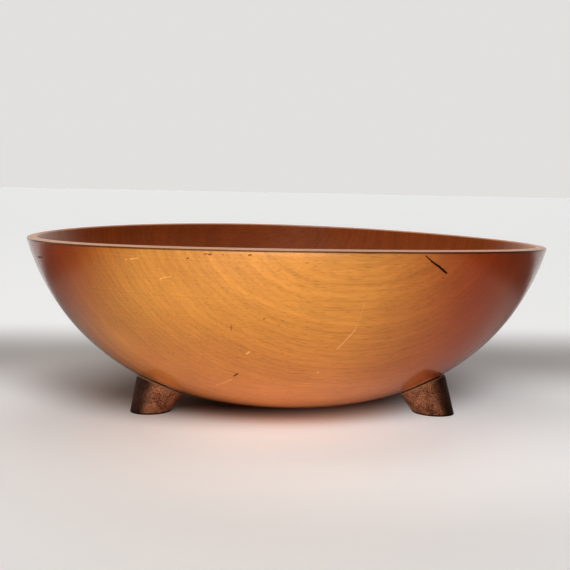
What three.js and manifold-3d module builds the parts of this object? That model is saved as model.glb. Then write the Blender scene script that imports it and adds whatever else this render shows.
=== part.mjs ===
// A footed wooden bowl: one turned maple bowl standing on three splayed feet, each held by a fluted
// dowel pin that is glued into a blind socket in the bowl and a blind hole in the foot.
// Millimetres, +Z up. The origin is on the table under the middle of the bowl. +X runs left to right
// across the front, which looks towards -Y.

import * as THREE from 'three';
import { mergeVertices } from 'three/addons/utils/BufferGeometryUtils.js';
import Module from 'manifold-3d';

const wasm = await Module();
wasm.setup();

const { degToRad, lerp } = THREE.MathUtils;
const fullTurn = 2 * Math.PI;
const halfTurn = Math.PI;
const quarterTurn = Math.PI / 2;

// Bowl, as it came off the lathe
const rimRadius = 165;
const rimHeight = 105;
const baseRadius = 64;
const baseClearance = 4.7;
const baseSlope = degToRad(14);
const baseEdgeRound = 16;
const rimWall = 6.5;
const floorThickness = 11;
const insideFloorInset = 6;
const insideSlopeEase = degToRad(4);
const insideFloorRound = 60;
const lipOuterRound = 2.5;
const lipInnerRound = 1.5;

// What drying did to it: it is narrower across the grain, and its rim dips along the grain, rises across
// it and stands a little higher on the left
const grainAngle = degToRad(10);
const acrossGrainRatio = 0.985;
const rimSaddle = 1.7;
const rimLeanHeight = 0.9;

// Feet: turned cones with a flat top let into a spot face in the bowl, sawn level at the table
const footSides = ['back', 'left', 'right'];
const firstFootAngle = degToRad(90);
const footCircleRadius = 93.5;
const footCircleShift = 2.2;
const footTopRadius = 15.3;
const footSoleRadius = 11.3;
const footEdgeRound = 1.1;
const seatGap = 0.3;
const seatSideGap = 0.3;

// Dowel pins and the holes they are glued into
const dowelRadius = 4.75;
const dowelFlutes = 12;
const fluteDepth = 0.35;
const dowelChamfer = 0.8;
const dowelSideGap = 0.3;
const dowelEndGap = 0.7;
const woodAboveSocket = 3.5;
const woodBelowFootHole = 7;

// How finely the round surfaces are divided
const bowlSegments = 72;
const footSegments = 48;
const holeSegments = 32;
const sideStep = degToRad(3.6);
const roundStep = degToRad(20);
const stepsPerFlute = 4;
const slopeSpan = 1;

const maple = new THREE.MeshStandardMaterial({ color: 0xc4722f, roughness: 0.35, metalness: 0 });
const darkStain = new THREE.MeshStandardMaterial({ color: 0x4a2415, roughness: 0.4, metalness: 0 });
const birch = new THREE.MeshStandardMaterial({ color: 0xd9b98a, roughness: 0.7, metalness: 0 });

// Half sections: x is the distance from the axis, y the height above the table, and a slope or direction
// is the angle of travel along the outline

// The arc that leaves one point at a given slope and ends at another point.
function arcBetween(from, to, startSlope) {
  const chord = new THREE.Vector2().subVectors(to, from);
  const radius = chord.length() / (2 * Math.sin(chord.angle() - startSlope));
  const leftward = new THREE.Vector2(-Math.sin(startSlope), Math.cos(startSlope));
  const centre = leftward.multiplyScalar(radius).add(from);
  return { from, centre, radius, startSlope, endSlope: 2 * chord.angle() - startSlope };
}

function pointAtSlope(centre, radius, slope) {
  return new THREE.Vector2(centre.x + radius * Math.sin(slope), centre.y - radius * Math.cos(slope));
}

// The inner points of an arc, without the lengths that the rounds at its ends take up.
function arcPoints(arc, startTrim, endTrim) {
  const first = arc.startSlope + startTrim / arc.radius;
  const last = arc.endSlope - endTrim / arc.radius;
  const steps = Math.ceil((last - first) / sideStep);
  const points = [];
  for (let step = 1; step < steps; step++) {
    points.push(pointAtSlope(arc.centre, arc.radius, lerp(first, last, step / steps)));
  }
  return points;
}

// How far from its corner a round begins.
function roundTrim(inDirection, outDirection, size) {
  return size * Math.tan(Math.abs(outDirection - inDirection) / 2);
}

// Points of a round of a given size where the outline turns a corner, to the left or to the right.
function roundPoints(corner, inDirection, outDirection, size) {
  const radius = size * Math.sign(outDirection - inDirection);
  const trim = roundTrim(inDirection, outDirection, size);
  const start = new THREE.Vector2(
    corner.x - trim * Math.cos(inDirection),
    corner.y - trim * Math.sin(inDirection),
  );
  const centre = pointAtSlope(start, -radius, inDirection);
  const steps = Math.ceil(Math.abs(outDirection - inDirection) / roundStep);
  const points = [];
  for (let step = 0; step <= steps; step++) {
    points.push(pointAtSlope(centre, radius, lerp(inDirection, outDirection, step / steps)));
  }
  return points;
}

const rimCorner = new THREE.Vector2(rimRadius, rimHeight);
const innerRimCorner = new THREE.Vector2(rimRadius - rimWall, rimHeight);
const baseCorner = new THREE.Vector2(baseRadius, baseClearance);
const floorCorner = new THREE.Vector2(baseRadius - insideFloorInset, baseClearance + floorThickness);
const outside = arcBetween(baseCorner, rimCorner, baseSlope);
const inside = arcBetween(floorCorner, innerRimCorner, baseSlope - insideSlopeEase);

// The bowl's half section, from the middle of its underside over the lip to the middle of its floor.
function bowlOutline() {
  const inward = halfTurn;
  const downInside = halfTurn + inside.endSlope;
  const towardsFloor = halfTurn + inside.startSlope;
  const outsideTrims = [
    roundTrim(0, outside.startSlope, baseEdgeRound),
    roundTrim(outside.endSlope, inward, lipOuterRound),
  ];
  const insideTrims = [
    roundTrim(towardsFloor, inward, insideFloorRound),
    roundTrim(inward, downInside, lipInnerRound),
  ];
  return [
    new THREE.Vector2(0, baseCorner.y),
    ...roundPoints(baseCorner, 0, outside.startSlope, baseEdgeRound),
    ...arcPoints(outside, ...outsideTrims),
    ...roundPoints(rimCorner, outside.endSlope, inward, lipOuterRound),
    ...roundPoints(innerRimCorner, inward, downInside, lipInnerRound),
    ...arcPoints(inside, ...insideTrims).reverse(),
    ...roundPoints(floorCorner, towardsFloor, inward, insideFloorRound),
    new THREE.Vector2(0, floorCorner.y),
  ];
}

// Height of one side of the wall at a distance from the axis, before drying.
function turnedHeight(wallSide, radius) {
  if (radius < wallSide.from.x) {
    return wallSide.from.y;
  }
  return wallSide.centre.y - Math.sqrt(wallSide.radius ** 2 - (radius - wallSide.centre.x) ** 2);
}

// How far drying lifts a point of the bowl, from its distances along and across the grain.
function liftBy(along, across, x) {
  return (rimSaddle * (across ** 2 - along ** 2)) / rimRadius ** 2 - (rimLeanHeight * x) / rimRadius;
}

// Moves a point of the turned bowl to where drying has left it.
function dry(point) {
  const along = point.x * Math.cos(grainAngle) + point.y * Math.sin(grainAngle);
  const across = point.y * Math.cos(grainAngle) - point.x * Math.sin(grainAngle);
  const lift = liftBy(along, across, point.x);
  const narrowed = across * acrossGrainRatio;
  return point.set(
    along * Math.cos(grainAngle) - narrowed * Math.sin(grainAngle),
    along * Math.sin(grainAngle) + narrowed * Math.cos(grainAngle),
    point.z + lift,
  );
}

// Height of one side of the dried bowl's wall above a place on the table.
function driedHeight(wallSide, x, y) {
  const along = x * Math.cos(grainAngle) + y * Math.sin(grainAngle);
  const across = (y * Math.cos(grainAngle) - x * Math.sin(grainAngle)) / acrossGrainRatio;
  const radius = Math.hypot(along, across);
  return turnedHeight(wallSide, radius) + liftBy(along, across, x);
}

// How far the dried outside rises over a short step whose middle is above a place on the table.
function outsideRise(x, y, stepX, stepY) {
  const start = driedHeight(outside, x - stepX / 2, y - stepY / 2);
  return driedHeight(outside, x + stepX / 2, y + stepY / 2) - start;
}

// The middle of a foot's seat, and the direction into the bowl that is square to it. The seat is a flat
// spot face, just deep enough for the whole top of the foot to bear on it.
function seatAt(angle) {
  const x = footCircleShift + footCircleRadius * Math.cos(angle);
  const y = footCircleRadius * Math.sin(angle);
  const skin = new THREE.Vector3(x, y, driedHeight(outside, x, y));
  const slopeX = outsideRise(x, y, slopeSpan, 0) / slopeSpan;
  const slopeY = outsideRise(x, y, 0, slopeSpan) / slopeSpan;
  const inward = new THREE.Vector3(-slopeX, -slopeY, 1).normalize();
  const depth = outside.radius - Math.sqrt(outside.radius ** 2 - footTopRadius ** 2);
  const wall = (driedHeight(inside, x, y) - skin.z) * inward.z - depth;
  const point = skin.addScaledVector(inward, depth);
  return { point, inward, wall, heightOnAxis: point.z / inward.z };
}

// Solids

function revolve(outline, segments) {
  return new THREE.LatheGeometry(outline, segments).rotateX(quarterTurn);
}

function toSolid(geometry) {
  const bare = geometry.clone();
  bare.deleteAttribute('normal');
  bare.deleteAttribute('uv');
  const merged = mergeVertices(bare);
  return new wasm.Manifold(new wasm.Mesh({
    numProp: 3,
    vertProperties: new Float32Array(merged.attributes.position.array),
    triVerts: new Uint32Array(merged.index.array),
  }));
}

function toGeometry(solid) {
  const mesh = solid.getMesh();
  const geometry = new THREE.BufferGeometry();
  geometry.setAttribute('position', new THREE.BufferAttribute(mesh.vertProperties, 3));
  geometry.setIndex(new THREE.BufferAttribute(mesh.triVerts, 1));
  geometry.computeVertexNormals();
  return geometry;
}

// A flat-ended round cutter on the Z axis, from one height to another.
function cutter(radius, low, high) {
  const outline = [
    new THREE.Vector2(0, low),
    new THREE.Vector2(radius, low),
    new THREE.Vector2(radius, high),
    new THREE.Vector2(0, high),
  ];
  return revolve(outline, holeSegments);
}

// Depths are measured from the seat along the foot's axis: the socket goes up into the bowl, the hole
// down into the foot.
function holeDepths(seat) {
  return {
    socket: seat.wall - woodAboveSocket,
    hole: seat.heightOnAxis - woodBelowFootHole,
  };
}

// The turned and dried bowl, with a spot face and a socket for each foot.
function bowlGeometry(stations) {
  const turned = revolve(bowlOutline(), bowlSegments);
  const positions = turned.attributes.position;
  const point = new THREE.Vector3();
  for (let index = 0; index < positions.count; index++) {
    dry(point.fromBufferAttribute(positions, index));
    positions.setXYZ(index, point.x, point.y, point.z);
  }
  let bowl = toSolid(turned);
  for (const { group, seat } of stations) {
    const { socket } = holeDepths(seat);
    const spotFace = cutter(footTopRadius + seatSideGap, -socket, 0).applyMatrix4(group.matrix);
    const socketDrill = cutter(dowelRadius + dowelSideGap, -socket, socket).applyMatrix4(group.matrix);
    bowl = bowl.subtract(toSolid(spotFace)).subtract(toSolid(socketDrill));
  }
  return toGeometry(bowl);
}

// The foot in its station's own frame: the seat is at zero and the cone hangs below it.
function footGeometry(group, seat) {
  const inward = halfTurn;
  const beyondTable = footTopRadius;
  const narrowing = (footTopRadius - footSoleRadius) / seat.heightOnAxis;
  const length = seat.heightOnAxis + beyondTable;
  const upSide = Math.atan2(1, narrowing);
  const outline = [
    new THREE.Vector2(0, -length),
    new THREE.Vector2(footTopRadius - narrowing * length, -length),
    ...roundPoints(new THREE.Vector2(footTopRadius, -seatGap), upSide, inward, footEdgeRound),
    new THREE.Vector2(0, -seatGap),
  ];
  const tableNormal = new THREE.Vector3(0, 0, 1).transformDirection(group.matrix.clone().invert());
  const { hole } = holeDepths(seat);
  const foot = toSolid(revolve(outline, footSegments))
    .trimByPlane(tableNormal.toArray(), -seat.point.z)
    .subtract(toSolid(cutter(dowelRadius + dowelSideGap, -hole, hole)));
  return toGeometry(foot);
}

// A pin with pressed flutes: narrow V grooves between flat lands, and chamfered ends.
function dowelGeometry(seat) {
  const { socket, hole } = holeDepths(seat);
  const length = socket + hole - 2 * dowelEndGap;
  const steps = dowelFlutes * stepsPerFlute;
  const rim = [];
  for (let step = 0; step < steps; step++) {
    const radius = step % stepsPerFlute === 0 ? dowelRadius - fluteDepth : dowelRadius;
    const angle = (fullTurn * step) / steps;
    rim.push(new THREE.Vector2(radius * Math.cos(angle), radius * Math.sin(angle)));
  }
  const pin = new THREE.ExtrudeGeometry(new THREE.Shape(rim), {
    depth: length - 2 * dowelChamfer,
    bevelThickness: dowelChamfer,
    bevelSize: dowelChamfer,
    bevelOffset: -dowelChamfer,
    bevelSegments: 1,
  });
  return pin.translate(0, 0, dowelEndGap + dowelChamfer - hole);
}

// Assembly

// One station for each foot: a group whose +Z points into the bowl from the middle of the seat.
function makeStation(side, index) {
  const seat = seatAt(firstFootAngle + (fullTurn * index) / footSides.length);
  const group = new THREE.Group();
  group.position.copy(seat.point);
  group.quaternion.setFromUnitVectors(new THREE.Vector3(0, 0, 1), seat.inward);
  group.updateMatrix();
  return { side, seat, group };
}

function namedMesh(name, geometry, material) {
  const mesh = new THREE.Mesh(geometry, material);
  mesh.name = name;
  return mesh;
}

const stations = footSides.map(makeStation);
const footedBowl = new THREE.Group();
footedBowl.add(namedMesh('bowl', bowlGeometry(stations), maple));
for (const { side, seat, group } of stations) {
  group.add(namedMesh(`foot_${side}`, footGeometry(group, seat), darkStain));
  group.add(namedMesh(`dowel_${side}`, dowelGeometry(seat), birch));
  footedBowl.add(group);
}

export default footedBowl;
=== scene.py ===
import logging
from collections.abc import Iterator
from contextlib import contextmanager
from dataclasses import dataclass, field
from enum import Enum
from math import acos, atan2, ceil, copysign, cos, hypot, pi, radians, sin, sqrt, tan

import bpy
from mathutils import Matrix, Vector


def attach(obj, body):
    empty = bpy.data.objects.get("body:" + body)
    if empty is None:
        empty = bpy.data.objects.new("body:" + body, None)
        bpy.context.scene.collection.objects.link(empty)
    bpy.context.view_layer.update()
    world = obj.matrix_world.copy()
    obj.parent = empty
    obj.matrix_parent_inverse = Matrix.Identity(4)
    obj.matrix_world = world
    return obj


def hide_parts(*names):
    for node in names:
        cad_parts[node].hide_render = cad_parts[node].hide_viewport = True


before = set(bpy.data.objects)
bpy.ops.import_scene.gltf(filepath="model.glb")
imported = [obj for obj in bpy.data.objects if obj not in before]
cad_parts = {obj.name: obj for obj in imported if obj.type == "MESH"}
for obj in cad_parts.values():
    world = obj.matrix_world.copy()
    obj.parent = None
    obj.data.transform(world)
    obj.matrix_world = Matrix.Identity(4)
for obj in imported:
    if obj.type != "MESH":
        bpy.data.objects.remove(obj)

LOG = logging.getLogger("footed_bowl")
MM = 0.001
BODY = "root"
UP = Vector((0, 0, 1))
Piece = bpy.types.Object


# Working on a mesh as by hand


def pick(piece: Piece) -> None:
    """Make a piece the only one that is selected, and the active one."""
    bpy.ops.object.select_all(action="DESELECT")
    bpy.context.view_layer.objects.active = piece
    piece.select_set(True)


@contextmanager
def editing(piece: Piece) -> Iterator[None]:
    """Open a piece in edit mode with all of it selected, and close it again with its faces turned outward.

    Args:
        piece: The mesh object to work on.
    """
    pick(piece)
    bpy.ops.object.mode_set(mode="EDIT")
    bpy.ops.mesh.select_all(action="SELECT")
    yield
    bpy.ops.mesh.select_all(action="SELECT")
    bpy.ops.mesh.normals_make_consistent(inside=False)
    bpy.ops.object.mode_set(mode="OBJECT")


def settle(piece: Piece) -> None:
    """Put a piece's place, turn and size into its mesh, so that its object sits at the origin."""
    pick(piece)
    bpy.ops.object.transform_apply()


def cut(piece: Piece) -> None:
    """Cut the tool that was just added out of a piece, and clear the tool away.

    Args:
        piece: The piece that is cut.
    """
    tool = bpy.context.object
    bpy.context.view_layer.objects.active = piece
    boolean = piece.modifiers.new("cut", "BOOLEAN")
    boolean.operation = "DIFFERENCE"
    boolean.solver = "EXACT"
    boolean.object = tool
    bpy.ops.object.modifier_apply(modifier=boolean.name)
    bpy.data.objects.remove(tool)


def bore(piece: Piece, seat: "Seat", radius: float, depth: float, middle: float, facets: int) -> None:
    """Bore a round hole along a foot's axis.

    Args:
        piece: The piece that is bored.
        seat: The foot's seat, which the axis is square to.
        radius: The cutter's radius.
        depth: Its length.
        middle: How far above the seat its middle lies.
        facets: The number of its sides.
    """
    place = seat.point + middle * seat.inward
    bpy.ops.mesh.primitive_cylinder_add(
        vertices=facets, radius=radius, depth=depth, location=place, rotation=seat.turn
    )
    cut(piece)


def dress(piece: Piece, crease: float, material: bpy.types.Material) -> None:
    """Shade a piece smooth, apart from edges sharper than an angle in radians, and give it its material."""
    pick(piece)
    bpy.ops.object.shade_smooth_by_angle(angle=crease)
    piece.data.materials.clear()
    piece.data.materials.append(material)


# Finishes

Triple = tuple[float, float, float]
Socket = bpy.types.NodeSocket


def linear(code: str) -> tuple[float, float, float, float]:
    """Turn an sRGB colour of six hex digits, such as "c4722f", into linear red, green, blue and alpha."""
    parts = [int(code[at:at + 2], 16) / 255 for at in (0, 2, 4)]
    return (*(p / 12.92 if p <= 0.04045 else ((p + 0.055) / 1.055) ** 2.4 for p in parts), 1.0)


def feed(node: bpy.types.Node, given: dict) -> None:
    """Give a node's inputs what goes into them.

    Args:
        node: The node.
        given: What each input gets, by name or number: another node's output, or a plain value.
    """
    for name, value in given.items():
        if isinstance(value, Socket):
            node.id_data.links.new(value, node.inputs[name])
        else:
            node.inputs[name].default_value = value


@dataclass(frozen=True)
class Fade:
    """How a mask comes in as a value passes from one number to another.

    It goes from least to most between begin and full, and is eased at both ends unless it says otherwise.
    """

    begin: float
    full: float
    most: float = 1.0
    least: float = 0.0
    eased: bool = True


@dataclass(frozen=True)
class Wiring:
    """A node tree that is being wired up. Each method adds one node, and most give what comes out of it."""

    tree: bpy.types.NodeTree

    def add(self, kind: str, given: dict | None = None, **settings) -> bpy.types.Node:
        """Add one node.

        Args:
            kind: Its type name.
            given: What each input gets, as in feed.
            settings: Its own settings.

        Returns:
            The node.
        """
        node = self.tree.nodes.new(kind)
        for name, value in settings.items():
            setattr(node, name, value)
        feed(node, given or {})
        return node

    def place(self) -> Socket:
        """Give the place on the object, in metres."""
        return self.add("ShaderNodeTexCoord").outputs["Object"]

    def math(self, operation: str, *given: Socket | float, use_clamp: bool = False) -> Socket:
        """Work out a number from numbers."""
        inputs = dict(enumerate(given))
        return self.add("ShaderNodeMath", inputs, operation=operation, use_clamp=use_clamp).outputs[0]

    def vector(self, operation: str, *given: Socket | Triple | Vector, result: int = 0) -> Socket:
        """Work out a vector from vectors."""
        return self.add("ShaderNodeVectorMath", dict(enumerate(given)), operation=operation).outputs[result]

    def measure(self, operation: str, *given: Socket | Triple | Vector) -> Socket:
        """Work out a number from vectors: a dot product, a distance or a length."""
        return self.vector(operation, *given, result=1)

    def mask(self, value: Socket, fade: Fade) -> Socket:
        """Turn a value into a mask that comes in as a fade says."""
        given = {
            "Value": value, "From Min": fade.begin, "From Max": fade.full,
            "To Min": fade.least, "To Max": fade.most,
        }
        shape = "SMOOTHSTEP" if fade.eased else "LINEAR"
        return self.add("ShaderNodeMapRange", given, interpolation_type=shape).outputs[0]

    def noise(self, at: Socket, scale: float = 1.0, detail: float = 2.0, by: str = "Vector") -> Socket:
        """Add noise that changes with a place, or by "W" with one number only."""
        given = {by: at, "Scale": scale, "Detail": detail}
        size = "3D" if by == "Vector" else "1D"
        return self.add("ShaderNodeTexNoise", given, noise_dimensions=size).outputs[0]

    def mix(self, share: Socket | float, under: Socket | str, over: Socket | str) -> Socket:
        """Lay a share of one colour over another, each a node's output or six hex digits."""
        colours = (colour if isinstance(colour, Socket) else linear(colour) for colour in (under, over))
        return self.add("ShaderNodeMix", dict(zip((0, 6, 7), (share, *colours))), data_type="RGBA").outputs[2]

    def bump(self, height: Socket, depth: float, strength: float) -> Socket:
        """Turn a height into bumps in the surface."""
        given = {"Height": height, "Distance": depth, "Strength": strength}
        return self.add("ShaderNodeBump", given).outputs[0]


def new_material(name: str) -> tuple[bpy.types.Material, Wiring, bpy.types.Node]:
    """Make a material to wire up.

    Args:
        name: The real material and how it was made.

    Returns:
        The material, its wiring and its shader.
    """
    made = bpy.data.materials.new(name)
    made.use_nodes = True
    return made, Wiring(made.node_tree), made.node_tree.nodes["Principled BSDF"]


class Harm(Enum):
    """What happened to the lacquer at a mark."""

    SPLIT = "split"
    PIT = "pit"
    CHIP = "chip"
    SCRATCH = "scratch"


@dataclass(frozen=True)
class Mark:
    """One mark of wear on the bowl's outside.

    A place is an angle round the bowl from +X and the side's slope there, both in degrees. The width is in
    millimetres.
    """

    kind: Harm
    start: tuple[float, float]
    end: tuple[float, float]
    width: float
    strength: float = 1.0


WEAR = (
    Mark(Harm.SPLIT, (-68.3, 74.4), (-66.8, 73.2), 0.6),
    Mark(Harm.SPLIT, (-67.0, 73.3), (-65.0, 72.05), 0.8),
    Mark(Harm.SPLIT, (-65.2, 72.2), (-63.0, 70.6), 0.9),
    Mark(Harm.CHIP, (-121.9, 72.6), (-120.2, 72.9), 0.6, 0.75),
    Mark(Harm.CHIP, (-116.4, 68.4), (-115.1, 68.9), 0.6, 0.75),
    Mark(Harm.CHIP, (-115.2, 68.9), (-114.1, 69.0), 0.5, 0.6),
    Mark(Harm.PIT, (-106.0, 40.7), (-104.8, 42.0), 0.7, 0.85),
    Mark(Harm.PIT, (-99.5, 74.2), (-99.1, 74.3), 0.6, 0.7),
    Mark(Harm.PIT, (-110.5, 73.2), (-110.1, 73.3), 0.6, 0.5),
    Mark(Harm.PIT, (-107.2, 74.2), (-106.7, 74.3), 0.6, 0.6),
    Mark(Harm.PIT, (-106.4, 74.2), (-106.0, 74.2), 0.7, 0.7),
    Mark(Harm.PIT, (-104.0, 74.2), (-103.8, 74.2), 0.5, 0.5),
    Mark(Harm.PIT, (-89.8, 72.8), (-89.5, 72.8), 0.5, 0.4),
    Mark(Harm.PIT, (-97.3, 59.6), (-97.1, 59.8), 0.7, 0.4),
    Mark(Harm.PIT, (-103.9, 56.5), (-103.7, 57.9), 0.7, 0.2),
    Mark(Harm.PIT, (-155.3, 71.0), (-151.9, 71.2), 0.8, 0.7),
    Mark(Harm.SCRATCH, (-107.1, 39.0), (-109.7, 37.3), 0.6, 0.35),
    Mark(Harm.SCRATCH, (-109.7, 37.3), (-112.9, 35.4), 0.6, 0.3),
    Mark(Harm.SCRATCH, (-101.5, 49.4), (-100.8, 50.1), 0.7, 0.7),
    Mark(Harm.SCRATCH, (-82.0, 51.4), (-79.2, 56.9), 0.7, 0.4),
    Mark(Harm.SCRATCH, (-79.2, 56.9), (-78.5, 63.9), 0.7, 0.12),
    Mark(Harm.SCRATCH, (-85.1, 43.0), (-84.9, 43.2), 0.9, 0.5),
    Mark(Harm.SCRATCH, (-122.9, 72.5), (-122.8, 72.5), 0.7, 0.5),
)


@dataclass(frozen=True)
class WornLine:
    """Where a mark runs on the dried bowl, in metres."""

    mark: Mark
    start: Vector
    end: Vector
    outward: Vector

    @property
    def reach(self) -> float:
        """Half the mark's width in metres."""
        return self.mark.width * MM / 2


@dataclass(frozen=True)
class LacqueredMaple:
    """Maple turned on a lathe, stained amber and lacquered.

    The eye gets growth rings as nested arcs, short dark flecks along the grain, faint rings from the turning
    tool, and a clear coat, glossy outside and hazier inside. The outside is made paler and yellower upwards
    as painted light, and darker at its end grain, with painted shade added on the right; the lip's top is
    worn pale with a painted highlight, a thin line of painted shade runs under the lip, and a ring of painted
    shade lies round each foot. The pattern is laid out in millimetres, with X along the grain.
    """

    pale: str = "da8c44"
    painted_upper_light: str = "dfa452"
    inside: str = "de8239"
    dark: str = "5a1e08"
    fibre_ends_and_shade: str = "ae4e16"
    split: str = "1c0603"
    pit: str = "4a1e0a"
    bare: str = "f0bd78"
    scratch: str = "eab77e"
    lip_shade_line: str = "4a1c08"
    worn_lip_and_highlight: str = "f4bf9a"
    seat_shade: str = "240d05"

    tree_centre: Triple = (0.0, 258.0, 44.0)
    ring_width: float = 2.8
    ring_stretch: Triple = (0.02, 1.0, 1.0)
    ring_sway_scale: Triple = (0.006, 0.02, 0.02)
    ring_sway: float = 14.0
    latewood: Fade = Fade(0.35, 0.95)
    band_scale: float = 0.45
    fibre_scale: Triple = (0.16, 1.6, 1.6)
    flecks: Fade = Fade(0.54, 0.74, eased=False)
    ray_scale: Triple = (0.1, 1.5, 0.12)
    blotch_scale: float = 0.022
    tool_ring_scale: float = 0.9

    latewood_weight: float = 0.05
    band_weight: float = 0.18
    fleck_weight: float = 0.17
    ray_weight: float = 0.25
    blotch_weight: float = 0.36
    tool_ring_weight: float = 0.12
    end_grain_and_shade_weight: float = 0.03
    tone_base: float = 0.02
    tone_cut: float = 0.22

    axis_point_above: float = 50 * MM
    left_end_grain: Fade = Fade(-0.58, -0.88)
    right_end_grain_and_shade: Fade = Fade(-0.05, 0.43)
    upper_light_rise: Fade = Fade(15.0, 85.0)
    lip_line_height: float = 103.75
    lip_shade: Fade = Fade(0.6, 0.25, 0.75, eased=False)
    lip_wear_and_highlight: Fade = Fade(lip_line_height + 0.35, lip_line_height + 0.6, 0.75, eased=False)
    seat_shade_width: float = 0.4 * MM
    mark_edge: Fade = Fade(1.35, 0.95)
    rag_scale: float = 2500.0
    rag_width: float = 0.6 * MM

    roughness: float = 0.42
    blotch_roughness: float = 0.2
    worn_roughness: float = 0.3
    specular: float = 0.12
    coat: float = 1.0
    coat_ior: float = 1.4
    coat_roughness: float = 0.08
    inside_coat_roughness: float = 0.26
    lip_coat_wear: float = 0.5
    tool_ring_relief: float = 0.5
    relief_depth: float = 0.03 * MM
    relief_strength: float = 0.6

    def mark_group(self) -> bpy.types.NodeTree:
        """Make the group of nodes that masks a narrow line between two points.

        Returns:
            The node group, with a mask of 1 on the line and 0 past its edge.
        """
        group = bpy.data.node_groups.new("along a mark", "ShaderNodeTree")
        for name, kind in (("Point", "Vector"), ("Start", "Vector"), ("End", "Vector"), ("Reach", "Float")):
            group.interface.new_socket(name, in_out="INPUT", socket_type="NodeSocket" + kind)
        group.interface.new_socket("Mask", in_out="OUTPUT", socket_type="NodeSocketFloat")
        wires = Wiring(group)
        given = wires.add("NodeGroupInput").outputs
        ray = wires.vector("SUBTRACT", given["Point"], given["Start"])
        line = wires.vector("SUBTRACT", given["End"], given["Start"])
        reached = wires.measure("DOT_PRODUCT", ray, line)
        whole = wires.measure("DOT_PRODUCT", line, line)
        share = wires.math("DIVIDE", reached, whole, use_clamp=True)
        foot = wires.add("ShaderNodeVectorMath", {0: line, "Scale": share}, operation="SCALE").outputs[0]
        away = wires.math("DIVIDE", wires.measure("DISTANCE", ray, foot), given["Reach"])
        wires.add("NodeGroupOutput", {"Mask": wires.mask(away, self.mark_edge)})
        return group

    def material(
        self, worn: list[WornLine], drying: "Drying", seats: list["Seat"], seat_radius: float
    ) -> bpy.types.Material:
        """Make the finish.

        Args:
            worn: The marks on the bowl.
            drying: What drying did to the bowl, which the lines along its lip follow.
            seats: The feet's seats, round which a ring of painted shade is laid.
            seat_radius: Their radius.

        Returns:
            The material.
        """
        made, wires, shader = new_material("amber lacquered turned maple")
        place = wires.place()
        to_grain = {"Vector": place, "Rotation": (0, 0, -drying.grain), "Scale": (1 / MM, 1 / MM, 1 / MM)}
        grain = wires.add("ShaderNodeMapping", to_grain).outputs[0]
        upward = wires.add("ShaderNodeSeparateXYZ", {0: grain}).outputs["Z"]
        square = wires.add("ShaderNodeNewGeometry").outputs["Normal"]

        # Growth rings round the tree's own axis, which lay behind the bowl
        sway = wires.noise(wires.vector("MULTIPLY", grain, self.ring_sway_scale))
        off_axis = wires.vector("SUBTRACT", grain, self.tree_centre)
        radius = wires.measure("LENGTH", wires.vector("MULTIPLY", off_axis, self.ring_stretch))
        radius = wires.math("MULTIPLY_ADD", sway, self.ring_sway, radius)
        rings = wires.math("DIVIDE", radius, self.ring_width)
        latewood = wires.mask(wires.math("FRACT", rings), self.latewood)
        bands = wires.noise(rings, self.band_scale, 1.0, by="W")
        # Fibres and rays: short dark flecks along the grain
        flecks = wires.noise(wires.vector("MULTIPLY", grain, self.fibre_scale), detail=1.5)
        flecks = wires.mask(flecks, self.flecks)
        rays = wires.noise(wires.vector("MULTIPLY", grain, self.ray_scale))
        # Blotches where the stain took unevenly, and rings left by the turning tool
        blotches = wires.noise(grain, self.blotch_scale, 3.0)
        tool_rings = wires.noise(upward, self.tool_ring_scale, by="W")

        # The outside faces away from a higher point of the bowl's axis, also at the flat underside
        away = wires.vector("MULTIPLY_ADD", place, (1, 1, 0), (0, 0, -self.axis_point_above))
        outer = wires.math("GREATER_THAN", wires.measure("DOT_PRODUCT", square, away), 0.0)
        # The ends of the fibres take more stain at both sides of the bowl, and painted shade makes the right
        # side darker still
        facing = wires.measure("DOT_PRODUCT", square, (cos(drying.grain), sin(drying.grain), 0))
        left, right = (wires.mask(facing, fade) for fade in (self.left_end_grain, self.right_end_grain_and_shade))
        end_grain_and_shade = wires.math("MULTIPLY", wires.math("ADD", right, left), outer)
        # Painted light: the outside is paler and yellower, more and more towards the rim
        upper_light_share = wires.math("MULTIPLY", wires.mask(upward, self.upper_light_rise), outer)

        # How dark the wood is, from 0 to 1
        tone = wires.math("MULTIPLY_ADD", latewood, self.latewood_weight, self.tone_base)
        for pattern, weight in (
            (bands, self.band_weight), (flecks, self.fleck_weight), (rays, self.ray_weight),
            (blotches, self.blotch_weight), (tool_rings, self.tool_ring_weight),
            (end_grain_and_shade, self.end_grain_and_shade_weight),
        ):
            tone = wires.math("MULTIPLY_ADD", pattern, weight, tone)
        tone = wires.math("SUBTRACT", tone, self.tone_cut, use_clamp=True)

        # Heights before drying moved the rim, which the lines along the lip follow
        undried = wires.vector("MULTIPLY", grain, (1, 1 / drying.across_ratio, 1))
        squares = wires.vector("MULTIPLY", undried, undried)
        bend = drying.saddle * MM / drying.rim_radius**2
        saddle = wires.measure("DOT_PRODUCT", squares, (-bend, bend, 0))
        level = (drying.lean / drying.rim_radius / MM, 0, 1 / MM)
        height = wires.math("SUBTRACT", wires.measure("DOT_PRODUCT", place, level), saddle)
        # Painted shade in a thin line under the lip's outer edge, and a painted highlight on the lip's top,
        # which is also worn
        from_line = wires.math("ABSOLUTE", wires.math("SUBTRACT", height, self.lip_line_height))
        lip_shade = wires.math("MULTIPLY", wires.mask(from_line, self.lip_shade), outer)
        worn_and_highlit_lip = wires.mask(height, self.lip_wear_and_highlight)

        colour = wires.mix(outer, self.inside, self.pale)
        for share, paint in (
            (upper_light_share, self.painted_upper_light), (end_grain_and_shade, self.fibre_ends_and_shade), (tone, self.dark),
            (lip_shade, self.lip_shade_line), (worn_and_highlit_lip, self.worn_lip_and_highlight),
        ):
            colour = wires.mix(share, colour, paint)
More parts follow.
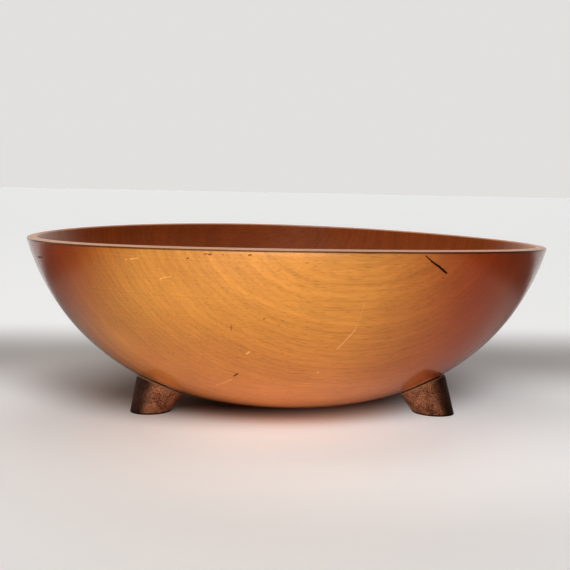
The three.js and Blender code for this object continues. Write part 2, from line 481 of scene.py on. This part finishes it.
        # Painted shade: a dark ring round each foot, at its seat's gap
        for seat in seats:
            off_seat = wires.measure("DISTANCE", place, seat.point)
            seat_shaded = wires.mask(off_seat, Fade(seat_radius + self.seat_shade_width, seat_radius))
            colour = wires.mix(wires.math("MULTIPLY", seat_shaded, outer), colour, self.seat_shade)

        # Marks, with ragged edges
        rag = {"Vector": place, "Scale": self.rag_scale, "Detail": 2.0}
        rag = wires.add("ShaderNodeTexNoise", rag).outputs["Color"]
        rag = wires.vector("SUBTRACT", rag, (0.5, 0.5, 0.5))
        ragged = wires.vector("MULTIPLY_ADD", rag, (self.rag_width,) * 3, place)
        group = self.mark_group()
        paints = {
            Harm.SCRATCH: self.scratch, Harm.CHIP: self.bare,
            Harm.PIT: self.pit, Harm.SPLIT: self.split,
        }
        worn_away = wires.math("MULTIPLY", worn_and_highlit_lip, self.lip_coat_wear)
        for kind, paint in paints.items():
            mask = 0.0
            for line in (line for line in worn if line.mark.kind is kind):
                given = {"Point": ragged, "Start": line.start, "End": line.end, "Reach": line.reach}
                here = wires.add("ShaderNodeGroup", given, node_tree=group).outputs[0]
                mask = wires.math("MAXIMUM", wires.math("MULTIPLY", here, line.mark.strength), mask)
            colour = wires.mix(mask, colour, paint)
            worn_away = wires.math("MAXIMUM", mask, worn_away)

        # The lacquer's skin: the tool's rings and open flecks in it, and bare wood where it is worn away
        relief = wires.math("MULTIPLY_ADD", tool_rings, self.tool_ring_relief, flecks)
        bump = wires.bump(relief, self.relief_depth, self.relief_strength)
        evenly = self.roughness - self.blotch_roughness / 2
        rough = wires.math("MULTIPLY_ADD", blotches, self.blotch_roughness, evenly)
        # Use and washing have made the coat hazier inside than outside
        clearer = self.coat_roughness - self.inside_coat_roughness
        feed(shader, {
            "Base Color": colour,
            "Roughness": wires.math("MULTIPLY_ADD", worn_away, self.worn_roughness, rough),
            "Specular IOR Level": self.specular,
            "Coat Weight": wires.math("MULTIPLY_ADD", worn_away, -self.coat, self.coat),
            "Coat Roughness": wires.math("MULTIPLY_ADD", outer, clearer, self.inside_coat_roughness),
            "Coat IOR": self.coat_ior,
            "Normal": bump,
            "Coat Normal": bump,
        })
        return made


@dataclass(frozen=True)
class StainedFoot:
    """Open-pored hardwood, turned, stained dark brown and rubbed back.

    The eye gets a network of copper-coloured wood between near-black pores under a thin gloss. Painted shade
    darkens the outward sides, a painted contact shadow darkens the sole, and the top edge is rubbed pale with
    a painted highlight.
    """

    copper: str = "dc9f78"
    stain: str = "744631"
    painted_side_shade: str = "34190e"
    pore_and_sole_shadow: str = "240e06"
    rub_and_highlight: str = "f8c8a4"
    network_scale: Triple = (1800.0, 1800.0, 1300.0)
    patch_scale: float = 160.0
    patch_weight: float = 0.7
    coppery: Fade = Fade(0.66, 1.12, eased=False)
    pores: Fade = Fade(0.4, 0.3, 0.75, eased=False)
    spread: float = 90 * MM
    outward: Fade = Fade(-0.05, 0.55, 0.88)
    sole_shadow: Fade = Fade(1.4 * MM, 0.5 * MM, 0.85)
    rubbing_and_highlight: Fade = Fade(0.1, 0.35, 0.85)
    roughness: float = 0.5
    pore_roughness: float = 0.3
    pore_depth: float = 0.15 * MM
    pore_strength: float = 0.5
    specular: float = 0.12
    coat: float = 0.15
    coat_roughness: float = 0.3

    def material(self, inward: Vector) -> bpy.types.Material:
        """Make the finish.

        Args:
            inward: The way up the foot's axis, which its rounded top edge leans towards.

        Returns:
            The material.
        """
        made, wires, shader = new_material("dark stained open-pored hardwood")
        place = wires.place()
        square = wires.add("ShaderNodeNewGeometry").outputs["Normal"]
        # The mottle repeats about every 0.6 mm, longer down the foot, and comes and goes in patches
        network = wires.noise(wires.vector("MULTIPLY", place, self.network_scale))
        patches = wires.noise(place, self.patch_scale)
        mottle = wires.math("MULTIPLY_ADD", patches, self.patch_weight, network)
        pores = wires.mask(network, self.pores)
        # Painted shade: the sides that face away from the bowl's middle are darker
        aside = wires.vector("MULTIPLY", place, (1 / self.spread, 0, 0))
        outward = wires.mask(wires.measure("DOT_PRODUCT", square, aside), self.outward)
        # Painted contact shadow at the sole, in the pores' colour
        sole_shadow = wires.mask(wires.add("ShaderNodeSeparateXYZ", {0: place}).outputs["Z"], self.sole_shadow)
        # Painted highlight on the top edge's round, which is also rubbed pale
        rubbed_and_highlit = wires.mask(wires.measure("DOT_PRODUCT", square, inward), self.rubbing_and_highlight)
        colour = wires.mix(wires.mask(mottle, self.coppery), self.stain, self.copper)
        for share, paint in (
            (outward, self.painted_side_shade), (pores, self.pore_and_sole_shadow), (sole_shadow, self.pore_and_sole_shadow), (rubbed_and_highlit, self.rub_and_highlight),
        ):
            colour = wires.mix(share, colour, paint)
        feed(shader, {
            "Base Color": colour,
            "Roughness": wires.math("MULTIPLY_ADD", pores, self.pore_roughness, self.roughness),
            "Specular IOR Level": self.specular,
            "Coat Weight": self.coat,
            "Coat Roughness": self.coat_roughness,
            "Normal": wires.bump(network, self.pore_depth, self.pore_strength),
        })
        return made


@dataclass(frozen=True)
class PlainBirch:
    """Birch dowel rod, fluted by pressing and left bare: pale, straight-grained and matt."""

    pale: str = "d9b98a"
    dark: str = "b98f5c"
    fibre_scale: Triple = (2000.0, 2000.0, 200.0)
    fibre_depth: float = 0.05 * MM
    fibre_strength: float = 0.4
    roughness: float = 0.7

    def material(self) -> bpy.types.Material:
        """Make the finish, with fibres of about 0.5 mm by 5 mm up the dowel.

        Returns:
            The material.
        """
        made, wires, shader = new_material("bare fluted birch dowel")
        grain = wires.noise(wires.vector("MULTIPLY", wires.place(), self.fibre_scale))
        feed(shader, {
            "Base Color": wires.mix(grain, self.pale, self.dark),
            "Roughness": self.roughness,
            "Normal": wires.bump(grain, self.fibre_depth, self.fibre_strength),
        })
        return made


@dataclass(frozen=True)
class PaleCounter:
    """A painted counter top: pale, faintly pink and nearly matt, and brighter where the room lights it.

    Its own soft glow stands in for window light that comes in low, and for what the lacquer mirrors of the
    room. Places and distances are in metres, and a shape is how fast an oval field falls off along X and Y.
    """

    paint: str = "ccc8c6"
    bounce_tint: str = "d4b098"
    unlit: str = "55504d"
    glow: str = "e2e5e6"
    bounce_glow: str = "e2bfab"
    roughness: float = 0.6
    wide_glow: float = 0.44
    far_glow: float = 0.58
    mirror_loss: float = 0.4
    shade_middle: Triple = (-0.022, 0.10, 0.0)
    shade_shape: Triple = (7.0, 6.7, 0.0)
    lit: Fade = Fade(0.92, 1.38)
    near_middle: Triple = (0.03, -0.12, 0.0)
    near_shape: Triple = (5.0, 6.7, 0.0)
    near_glow: Fade = Fade(1.0, 0.25, 0.27)
    mirrored_middle: Triple = (-0.10, -0.28, 0.0)
    mirrored_glow: Fade = Fade(0.13, 0.02, 1.3)
    front: Fade = Fade(0.12, -0.03)
    behind: Fade = Fade(0.13, 0.32)
    far: Fade = Fade(0.7, 2.5, eased=False)
    sides: Fade = Fade(0.34, 0.22)
    close: Fade = Fade(0.095, 0.055)

    def material(self) -> bpy.types.Material:
        """Make the finish.

        Returns:
            The material.
        """
        made, wires, shader = new_material("pale painted counter")
        place = wires.place()
        apart = wires.add("ShaderNodeSeparateXYZ", {0: place}).outputs
        distance = wires.measure("LENGTH", place)
        ray = wires.add("ShaderNodeLightPath").outputs
        # It glows a little in front of the bowl, where the low window light of the photograph reaches: widely
        # outside the bowl's shade, and more strongly close in front
        from_shade, from_near = (
            wires.measure("LENGTH", wires.vector("MULTIPLY", wires.vector("SUBTRACT", place, middle), shape))
            for middle, shape in ((self.shade_middle, self.shade_shape), (self.near_middle, self.near_shape))
        )
        glow = wires.math("ADD", wires.mask(from_near, self.near_glow), self.wide_glow)
        for share in (wires.mask(from_shade, self.lit), wires.mask(apart["Y"], self.front)):
            glow = wires.math("MULTIPLY", glow, share)
        # Behind the bowl and far off it brightens into the wall
        behind = wires.mask(apart["Y"], self.behind)
        far = wires.math("MAXIMUM", wires.mask(distance, self.far), behind)
        glow = wires.math("ADD", glow, wires.math("MULTIPLY", far, self.far_glow))
        # To the bowl the counter ends at its sides, out of the picture, so that its flanks mirror a dark room
        kept = wires.mask(wires.math("ABSOLUTE", apart["X"]), self.sides)
        for other in (ray["Is Camera Ray"], behind):
            kept = wires.math("MAXIMUM", kept, other)
        # The lacquer mirrors the counter close by less brightly than it is, and the lit counter behind fully
        dulled = wires.math("MULTIPLY_ADD", ray["Is Glossy Ray"], -self.mirror_loss, 1.0)
        kept = wires.math("MINIMUM", kept, wires.math("MAXIMUM", dulled, behind))
        # In front of the bowl, to the left, the lacquer mirrors a soft bright patch as a veil under the lip
        off_patch = wires.measure("DISTANCE", place, self.mirrored_middle)
        mirrored = wires.math("MULTIPLY", wires.mask(off_patch, self.mirrored_glow), ray["Is Glossy Ray"])
        glow = wires.math("MULTIPLY", wires.math("ADD", glow, mirrored), kept)
        # Under the bowl its paint and glow are tinted orange: painted light bounced off the wood above
        close = wires.mask(distance, self.close)
        feed(shader, {
            "Base Color": wires.mix(kept, self.unlit, wires.mix(close, self.paint, self.bounce_tint)),
            "Roughness": self.roughness,
            "Emission Color": wires.mix(close, self.glow, self.bounce_glow),
            "Emission Strength": glow,
        })
        return made


# The bowl


@dataclass(frozen=True)
class Arc:
    """An arc of the bowl's half section, where x is the distance from the axis and z the height."""

    centre: Vector
    radius: float
    start: float
    end: float

    @classmethod
    def between(cls, low: Vector, high: Vector, start: float) -> "Arc":
        """Draw the arc that leaves a low point at a given slope and ends at a high one.

        Args:
            low: Where the arc starts.
            high: Where it ends.
            start: Its slope at the low point, in radians.

        Returns:
            The arc.
        """
        chord = high - low
        turn = atan2(chord.z, chord.x)
        radius = chord.length / (2 * sin(turn - start))
        centre = low + radius * Vector((-sin(start), 0, cos(start)))
        return cls(centre, radius, start, 2 * turn - start)

    def at(self, slope: float) -> Vector:
        """Give the point where the arc has a slope."""
        return self.centre + self.radius * Vector((sin(slope), 0, -cos(slope)))

    def points(self, start_trim: float, end_trim: float, step: float) -> list[Vector]:
        """Give the arc's inner points, without the lengths that the rounds at its ends take up.

        Args:
            start_trim: Length left out at the start.
            end_trim: Length left out at the end.
            step: The largest change of slope from one point to the next.

        Returns:
            The points, from the start on.
        """
        first = self.start + start_trim / self.radius
        last = self.end - end_trim / self.radius
        count = ceil((last - first) / step)
        return [self.at(first + (last - first) * at / count) for at in range(1, count)]

    def slope_at_height(self, height: float) -> float:
        """Give the arc's slope where it has a height."""
        return acos((self.centre.z - height) / self.radius)


def round_trim(into: float, out: float, size: float) -> float:
    """Give how far from its corner a round begins."""
    return size * tan(abs(out - into) / 2)


def round_points(corner: Vector, into: float, out: float, size: float, step: float) -> list[Vector]:
    """Give the points of a round where an outline turns a corner.

    Args:
        corner: The sharp corner.
        into: Direction of travel before it, in radians.
        out: Direction of travel after it.
        size: The round's radius.
        step: The largest turn from one point to the next.

    Returns:
        The points, from the end of the line before to the start of the line after.
    """
    radius = copysign(size, out - into)
    start = corner - round_trim(into, out, size) * Vector((cos(into), 0, sin(into)))
    centre = start + radius * Vector((-sin(into), 0, cos(into)))
    count = ceil(abs(out - into) / step)
    turns = [into + (out - into) * at / count for at in range(count + 1)]
    return [centre + radius * Vector((sin(turn), 0, -cos(turn))) for turn in turns]


@dataclass(frozen=True)
class Drying:
    """What drying did to the turned bowl: narrower across the grain, with a saddle-shaped, leaning rim."""

    grain: float = radians(10)
    across_ratio: float = 0.985
    saddle: float = 1.7 * MM
    lean: float = 0.9 * MM
    rim_radius: float = 165 * MM

    def lift(self, along: float, across: float, x: float) -> float:
        """Give how far drying lifts a point, from its distances along and across the grain."""
        return self.saddle * (across**2 - along**2) / self.rim_radius**2 - self.lean * x / self.rim_radius

    def moved(self, point: Vector) -> Vector:
        """Give where drying has left a point of the turned bowl."""
        grain = Matrix.Rotation(self.grain, 3, "Z")
        along, across, height = grain.inverted() @ point
        dried = grain @ Vector((along, across * self.across_ratio, height))
        return dried + self.lift(along, across, point.x) * UP

    def height(self, wall: Arc, x: float, y: float) -> float:
        """Give the height of one side of the dried wall above a place on the table.

        Args:
            wall: The side's arc.
            x: Place on the table.
            y: The same.

        Returns:
            The height above the table.
        """
        along, across, _ = Matrix.Rotation(-self.grain, 3, "Z") @ Vector((x, y, 0))
        across /= self.across_ratio
        reach = hypot(along, across) - wall.centre.x
        return wall.centre.z - sqrt(wall.radius**2 - reach**2) + self.lift(along, across, x)


@dataclass(frozen=True)
class Seat:
    """Where a foot meets the bowl: the middle of its flat seat, and the way square to it, into the bowl."""

    point: Vector
    inward: Vector
    wall: float

    @property
    def length(self) -> float:
        """Length of the foot's axis from the seat to the table."""
        return self.point.z / self.inward.z

    @property
    def turn(self) -> tuple[float, float, float]:
        """The turn that points a piece's own Z along the foot's axis."""
        return tuple(self.inward.to_track_quat("Z", "Y").to_euler())


@dataclass
class Bowl:
    """The one-piece turned bowl, with a spot face and a socket for each foot."""

    rim_radius: float = 165 * MM
    rim_height: float = 105 * MM
    base_radius: float = 64 * MM
    base_clearance: float = 4.7 * MM
    base_slope: float = radians(14)
    base_edge_round: float = 16 * MM
    rim_wall: float = 6.5 * MM
    lip_drop: float = 0.7 * MM
    lip_rise: float = 0.3 * MM
    floor_thickness: float = 11 * MM
    inside_floor_inset: float = 6 * MM
    inside_slope_ease: float = radians(4)
    inside_floor_round: float = 60 * MM
    lip_outer_round: float = 0.8 * MM
    lip_inner_round: float = 2.2 * MM
    seat_side_gap: float = 0.3 * MM
    socket_side_gap: float = 0.3 * MM
    wood_above_socket: float = 3.5 * MM
    slope_span: float = 1 * MM
    turns: int = 320
    side_step: float = radians(1.5)
    round_step: float = radians(9)
    base_round_parts: int = 4
    floor_round_parts: int = 6
    weld: float = 0.01 * MM
    cutter_facets: int = 96
    mark_facets: tuple[int, int] = (24, 16)
    mark_depth: float = 0.8
    crease: float = radians(35)
    drying: Drying = field(default_factory=Drying)

    def __post_init__(self) -> None:
        """Draw the arcs of the outside and the inside."""
        self.base_corner = Vector((self.base_radius, 0, self.base_clearance))
        self.rim_corner = Vector((self.rim_radius, 0, self.rim_height))
        self.floor_corner = self.base_corner + Vector((-self.inside_floor_inset, 0, self.floor_thickness))
        self.inner_rim_corner = self.rim_corner - Vector((self.rim_wall, 0, 0))
        self.outside = Arc.between(self.base_corner, self.rim_corner, self.base_slope)
        inside_slope = self.base_slope - self.inside_slope_ease
        self.inside = Arc.between(self.floor_corner, self.inner_rim_corner, inside_slope)

    def outline(self) -> list[Vector]:
        """Draw the half section.

        Returns:
            Its points, from the middle of the underside over the lip to the middle of the floor.
        """
        inward = pi
        down_inside = pi + self.inside.end
        to_floor = pi + self.inside.start
        # The lip's top falls outward, from just above the rim's height to just below it
        up_outside = self.outside.slope_at_height(self.rim_height - self.lip_drop)
        lip_out = self.outside.at(up_outside)
        lip_in = self.inner_rim_corner + self.lip_rise * UP
        over_lip = atan2(lip_in.z - lip_out.z, lip_in.x - lip_out.x)
        cut_short = (self.outside.end - up_outside) * self.outside.radius
        outside_trims = (
            round_trim(0, self.outside.start, self.base_edge_round),
            cut_short + round_trim(up_outside, over_lip, self.lip_outer_round),
        )
        inside_trims = (
            round_trim(to_floor, inward, self.inside_floor_round),
            round_trim(over_lip, down_inside, self.lip_inner_round),
        )
        step = self.round_step
        return [
            Vector((0, 0, self.base_corner.z)),
            *round_points(
                self.base_corner, 0, self.outside.start, self.base_edge_round, step / self.base_round_parts
            ),
            *self.outside.points(*outside_trims, self.side_step),
            *round_points(lip_out, up_outside, over_lip, self.lip_outer_round, step),
            *round_points(lip_in, over_lip, down_inside, self.lip_inner_round, step),
            *reversed(self.inside.points(*inside_trims, self.side_step)),
            *round_points(
                self.floor_corner, to_floor, inward, self.inside_floor_round, step / self.floor_round_parts
            ),
            Vector((0, 0, self.floor_corner.z)),
        ]

    def turn(self) -> Piece:
        """Draw the half section point by point and spin it round the bowl's axis.

        Returns:
            The turned bowl, before drying.
        """
        outline = self.outline()
        bpy.ops.mesh.primitive_plane_add(size=self.rim_wall, location=outline[0])
        bowl = bpy.context.object
        bowl.name = "turned_bowl"
        settle(bowl)
        with editing(bowl):
            bpy.ops.mesh.merge(type="CENTER")
            for before, after in zip(outline, outline[1:]):
                bpy.ops.mesh.extrude_vertices_move(TRANSFORM_OT_translate={"value": after - before})
            bpy.ops.mesh.select_all(action="SELECT")
            bpy.ops.mesh.spin(steps=self.turns, angle=2 * pi, center=(0, 0, 0), axis=(0, 0, 1))
            bpy.ops.mesh.select_all(action="SELECT")
            bpy.ops.mesh.remove_doubles(threshold=self.weld)
        return bowl

    def seat(self, x: float, y: float, top_radius: float) -> Seat:
        """Find the flat seat of a foot, just deep enough for its whole top to bear on it.

        Args:
            x: Where the foot's axis would leave the skin, on the table's plan.
            y: The same.
            top_radius: Radius of the foot's top.

        Returns:
            The seat.
        """
        half = self.slope_span / 2
        skin = Vector((x, y, self.drying.height(self.outside, x, y)))
        rise_x = self.drying.height(self.outside, x + half, y) - self.drying.height(self.outside, x - half, y)
        rise_y = self.drying.height(self.outside, x, y + half) - self.drying.height(self.outside, x, y - half)
        inward = Vector((-rise_x / self.slope_span, -rise_y / self.slope_span, 1)).normalized()
        depth = self.outside.radius - sqrt(self.outside.radius**2 - top_radius**2)
        wall = (self.drying.height(self.inside, x, y) - skin.z) * inward.z - depth
        return Seat(skin + depth * inward, inward, wall)

    def place(self, angle: float, slope: float) -> Vector:
        """Give the point of the dried outside at an angle round from +X and a slope, both in degrees."""
        on_side = self.outside.at(radians(slope))
        return self.drying.moved(Matrix.Rotation(radians(angle), 3, "Z") @ on_side)

    def worn_lines(self) -> list[WornLine]:
        """Lay the marks of wear out on the dried bowl.

        Returns:
            Where each of them runs.
        """
        lines = []
        for mark in WEAR:
            angle, slope = (radians(value) for value in mark.start)
            square = Vector((sin(slope), 0, -cos(slope)))
            outward = Matrix.Rotation(angle, 3, "Z") @ square
            lines.append(WornLine(mark, self.place(*mark.start), self.place(*mark.end), outward))
        return lines

    def cut_mark(self, bowl: Piece, line: WornLine) -> None:
        """Gouge a mark out of the outside with a long, narrow, round-ended tool.

        Args:
            bowl: The bowl.
            line: Where the mark runs.
        """
        along = (line.end - line.start).normalized()
        across = line.outward.cross(along).normalized()
        turn = Matrix((along, across, along.cross(across))).transposed()
        half_length = (line.end - line.start).length / 2 + line.reach
        segments, rings = self.mark_facets
        bpy.ops.mesh.primitive_uv_sphere_add(
            segments=segments, ring_count=rings, radius=1, location=(line.start + line.end) / 2,
            rotation=turn.to_euler(), scale=(half_length, line.reach, self.mark_depth * line.reach),
        )
        cut(bowl)

    def build(self, seats: list[Seat], top_radius: float, pin_radius: float) -> Piece:
        """Turn the bowl, let it dry, cut the seats and wear it.

        Args:
            seats: The feet's seats.
            top_radius: Radius of a foot's top.
            pin_radius: Radius of a dowel pin.

        Returns:
            The finished bowl.
        """
        bowl = self.turn()
        for point in bowl.data.vertices:
            point.co = self.drying.moved(point.co)
        # Each foot gets a spot face, and its dowel pin a socket that leaves some wood below the inside
        for seat in seats:
            socket = seat.wall - self.wood_above_socket
            bore(bowl, seat, top_radius + self.seat_side_gap, socket, -socket / 2, self.cutter_facets)
            bore(bowl, seat, pin_radius + self.socket_side_gap, 2 * socket, 0.0, self.cutter_facets)
        worn = self.worn_lines()
        for line in worn:
            if line.mark.kind is not Harm.SCRATCH:
                self.cut_mark(bowl, line)
        seat_radius = top_radius + self.seat_side_gap
        dress(bowl, self.crease, LacqueredMaple().material(worn, self.drying, seats, seat_radius))
        return bowl


# The feet


@dataclass
class Foot:
    """A turned, tapered foot that stands square to the bowl's skin and is sawn off level at the table."""

    name: str
    angle: float
    circle_radius: float = 93.5 * MM
    circle_shift: float = 2.2 * MM
    top_radius: float = 15.3 * MM
    sole_radius: float = 11.3 * MM
    edge_round: float = 1.3 * MM
    seat_gap: float = 0.55 * MM
    pin_radius: float = 4.75 * MM
    hole_side_gap: float = 0.3 * MM
    wood_below_pin: float = 7 * MM
    facets: int = 96
    hole_facets: int = 48
    edge_segments: int = 8
    crease: float = radians(40)

    def seat(self, bowl: Bowl) -> Seat:
        """Find where this foot meets the bowl."""
        turn = radians(self.angle)
        x = self.circle_shift + self.circle_radius * cos(turn)
        return bowl.seat(x, self.circle_radius * sin(turn), self.top_radius)

    def build(self, seat: Seat) -> Piece:
        """Turn the foot, round its top edge, saw it level and bore it for its pin.

        Args:
            seat: Where the foot meets the bowl.

        Returns:
            The finished foot.
        """
        taper = (self.top_radius - self.sole_radius) / seat.length
        low = -seat.length - self.top_radius
        top = -self.seat_gap
        bpy.ops.mesh.primitive_cone_add(
            vertices=self.facets, depth=top - low,
            radius1=self.top_radius + taper * low, radius2=self.top_radius + taper * top,
            location=seat.point + (top + low) / 2 * seat.inward, rotation=seat.turn,
        )
        foot = bpy.context.object
        foot.name = self.name + "_turned"
        settle(foot)
        with editing(foot):
            # The top edge is the only one whose two ends both lie near the seat
            bpy.ops.mesh.select_all(action="DESELECT")
            bpy.ops.mesh.select_mode(type="EDGE")
            bpy.ops.object.mode_set(mode="OBJECT")
            near = [(point.co - seat.point).dot(seat.inward) > 2 * top for point in foot.data.vertices]
            for edge in foot.data.edges:
                edge.select = all(near[end] for end in edge.vertices)
            bpy.ops.object.mode_set(mode="EDIT")
            bpy.ops.mesh.bevel(offset=self.edge_round, segments=self.edge_segments, affect="EDGES")
            bpy.ops.mesh.select_all(action="SELECT")
            bpy.ops.mesh.bisect(plane_co=(0, 0, 0), plane_no=(0, 0, 1), use_fill=True, clear_inner=True)
        depth = seat.length - self.wood_below_pin
        bore(foot, seat, self.pin_radius + self.hole_side_gap, 2 * depth, 0.0, self.hole_facets)
        dress(foot, self.crease, StainedFoot().material(seat.inward))
        return foot


# Where it is photographed


@dataclass(frozen=True)
class Panel:
    """A soft rectangular light that the camera doesn't see, in metres and watts.

    It faces straight up if it has no aim. If it isn't mirrored, it lights matt surfaces only.
    """

    name: str
    place: Triple
    size: tuple[float, float]
    power: float
    aim: Triple | None = None
    mirrored: bool = True
    lights_matt: bool = True
    colour: str = "fff6ee"

    def build(self) -> None:
        """Add the light."""
        way = Vector(self.aim) - Vector(self.place) if self.aim else UP
        turn = way.to_track_quat("-Z", "Y").to_euler()
        bpy.ops.object.light_add(type="AREA", location=self.place, rotation=turn)
        panel = bpy.context.object
        panel.name = self.name
        panel.data.shape = "RECTANGLE"
        panel.data.size, panel.data.size_y = self.size
        panel.data.energy = self.power
        panel.data.color = linear(self.colour)[:3]
        panel.visible_camera = False
        panel.visible_glossy = self.mirrored
        panel.visible_diffuse = self.lights_matt


BOWL_MIDDLE = (0.0, 0.0, 0.06)
# The counter's bright parts, which light the bowl from below, and then the windows and the lamp
PANELS = (
    Panel("bright patch of the counter", (-0.1, -0.39, 0.004), (0.4, 0.16), 0.55),
    Panel("more of the patch's light, not mirrored", (-0.1, -0.39, 0.003), (0.4, 0.16), 0.55, mirrored=False),
    Panel("counter's light on the front", (0.04, -0.33, 0.003), (0.4, 0.16), 0.34, mirrored=False),
    Panel("light thrown up under the bowl", (0.04, -0.11, 0.003), (0.36, 0.07), 0.05, mirrored=False),
    Panel("low window, front left", (-0.9, -1.3, 0.05), (0.5, 0.09), 2.0, BOWL_MIDDLE),
    Panel("high window in front", (-0.25, -1.3, 1.0), (0.7, 0.4), 6.0, BOWL_MIDDLE, mirrored=False),
    Panel(
        "lamp mirrored on upward edges", (-0.3, -0.7, 2.0), (0.7, 0.35), 14.0, BOWL_MIDDLE, lights_matt=False,
    ),
    Panel("long window to the left", (-1.7, 0.0, 0.4), (2.4, 0.4), 4.0, BOWL_MIDDLE),
)


@dataclass
class Studio:
    """A plain pale counter, the lights of the room round it, and the camera."""

    eye: Vector = field(default_factory=lambda: Vector((-34.3, -588.1, 133.9)) * MM)
    look: tuple[float, float] = (0.0569, 0.9984)
    pitch: float = radians(5.96)
    roll: float = 0.0195
    lens: float = 56.62
    sensor: float = 36.0
    nearest: float = 10 * MM
    contrast: float = 0.8
    counter_size: float = 200.0
    ceiling_turn: Triple = (radians(-20), 0, 0)
    ceiling_power: float = 1.3
    ceiling_spread: float = radians(60)
    room_colour: str = "e7e6e4"
    wall_way: Triple = (0.08, 0.997, 0.0)
    wall: Fade = Fade(0.6, 0.85, least=0.04)
    below_ceiling: Fade = Fade(0.65, 0.35, least=0.3, eased=False)
    mirrored_ceiling: Fade = Fade(0.4, 0.8, eased=False)

    def build_camera(self) -> None:
        """Place the camera where the photograph was taken from."""
        level = Vector((*self.look, 0)).normalized()
        forward = level * cos(self.pitch) - UP * sin(self.pitch)
        side = level.cross(UP)
        up = side.cross(forward)
        right = cos(self.roll) * side + sin(self.roll) * up
        top = cos(self.roll) * up - sin(self.roll) * side
        turn = Matrix((right, top, -forward)).transposed()
        bpy.ops.object.camera_add(location=self.eye, rotation=turn.to_euler())
        camera = bpy.context.object
        camera.data.lens = self.lens
        camera.data.sensor_width = self.sensor
        camera.data.clip_start = self.nearest
        bpy.context.scene.camera = camera

    def build_world(self) -> None:
        """Make the room: a pale wall behind the bowl, a ceiling that is mirrored, and dim elsewhere."""
        world = bpy.data.worlds.new("room")
        world.use_nodes = True
        wires = Wiring(world.node_tree)
        direction = wires.add("ShaderNodeTexCoord").outputs["Generated"]
        upward = wires.add("ShaderNodeSeparateXYZ", {0: direction}).outputs["Z"]
        ray = wires.add("ShaderNodeLightPath").outputs
        wall = wires.mask(wires.measure("DOT_PRODUCT", direction, self.wall_way), self.wall)
        strength = wires.math("MULTIPLY", wall, wires.mask(upward, self.below_ceiling))
        ceiling = wires.math("MULTIPLY", wires.mask(upward, self.mirrored_ceiling), ray["Is Glossy Ray"])
        for other in (ceiling, ray["Is Camera Ray"]):
            strength = wires.math("MAXIMUM", strength, other)
        background = world.node_tree.nodes["Background"]
        feed(background, {"Color": linear(self.room_colour), "Strength": strength})
        bpy.context.scene.world = world

    def build(self) -> None:
        """Set up the camera, the counter and the lights."""
        self.build_camera()
        bpy.ops.mesh.primitive_plane_add(size=self.counter_size)
        plane = bpy.context.object
        plane.data.materials.append(PaleCounter().material())
        for panel in PANELS:
            panel.build()
        bpy.ops.object.light_add(type="SUN", rotation=self.ceiling_turn)
        ceiling = bpy.context.object
        ceiling.name = "soft light from the ceiling"
        ceiling.data.energy = self.ceiling_power
        ceiling.data.angle = self.ceiling_spread
        self.build_world()
        view = bpy.context.scene.view_settings
        view.view_transform = "Standard"
        view.gamma = self.contrast


def main() -> None:
    """Build the bowl on its feet, dress it, and light it."""
    logging.basicConfig(level=logging.INFO)
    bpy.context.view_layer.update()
    bowl = Bowl()
    feet = [Foot("foot_back", 90), Foot("foot_left", 210), Foot("foot_right", 330)]
    seats = [foot.seat(bowl) for foot in feet]
    turned = bowl.build(seats, feet[0].top_radius, feet[0].pin_radius)
    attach(turned, BODY)
    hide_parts("bowl")
    LOG.info("bowl: %d faces", len(turned.data.polygons))
    for foot, seat in zip(feet, seats):
        piece = foot.build(seat)
        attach(piece, BODY)
        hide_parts(foot.name)
        LOG.info("%s: %d faces", foot.name, len(piece.data.polygons))
    birch = PlainBirch().material()
    for name in ("dowel_back", "dowel_left", "dowel_right"):
        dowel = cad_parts[name]
        for slot in dowel.material_slots:
            slot.material = birch
        LOG.info("%s: dressed", name)
    Studio().build()


if __name__ == "__main__":
    main()
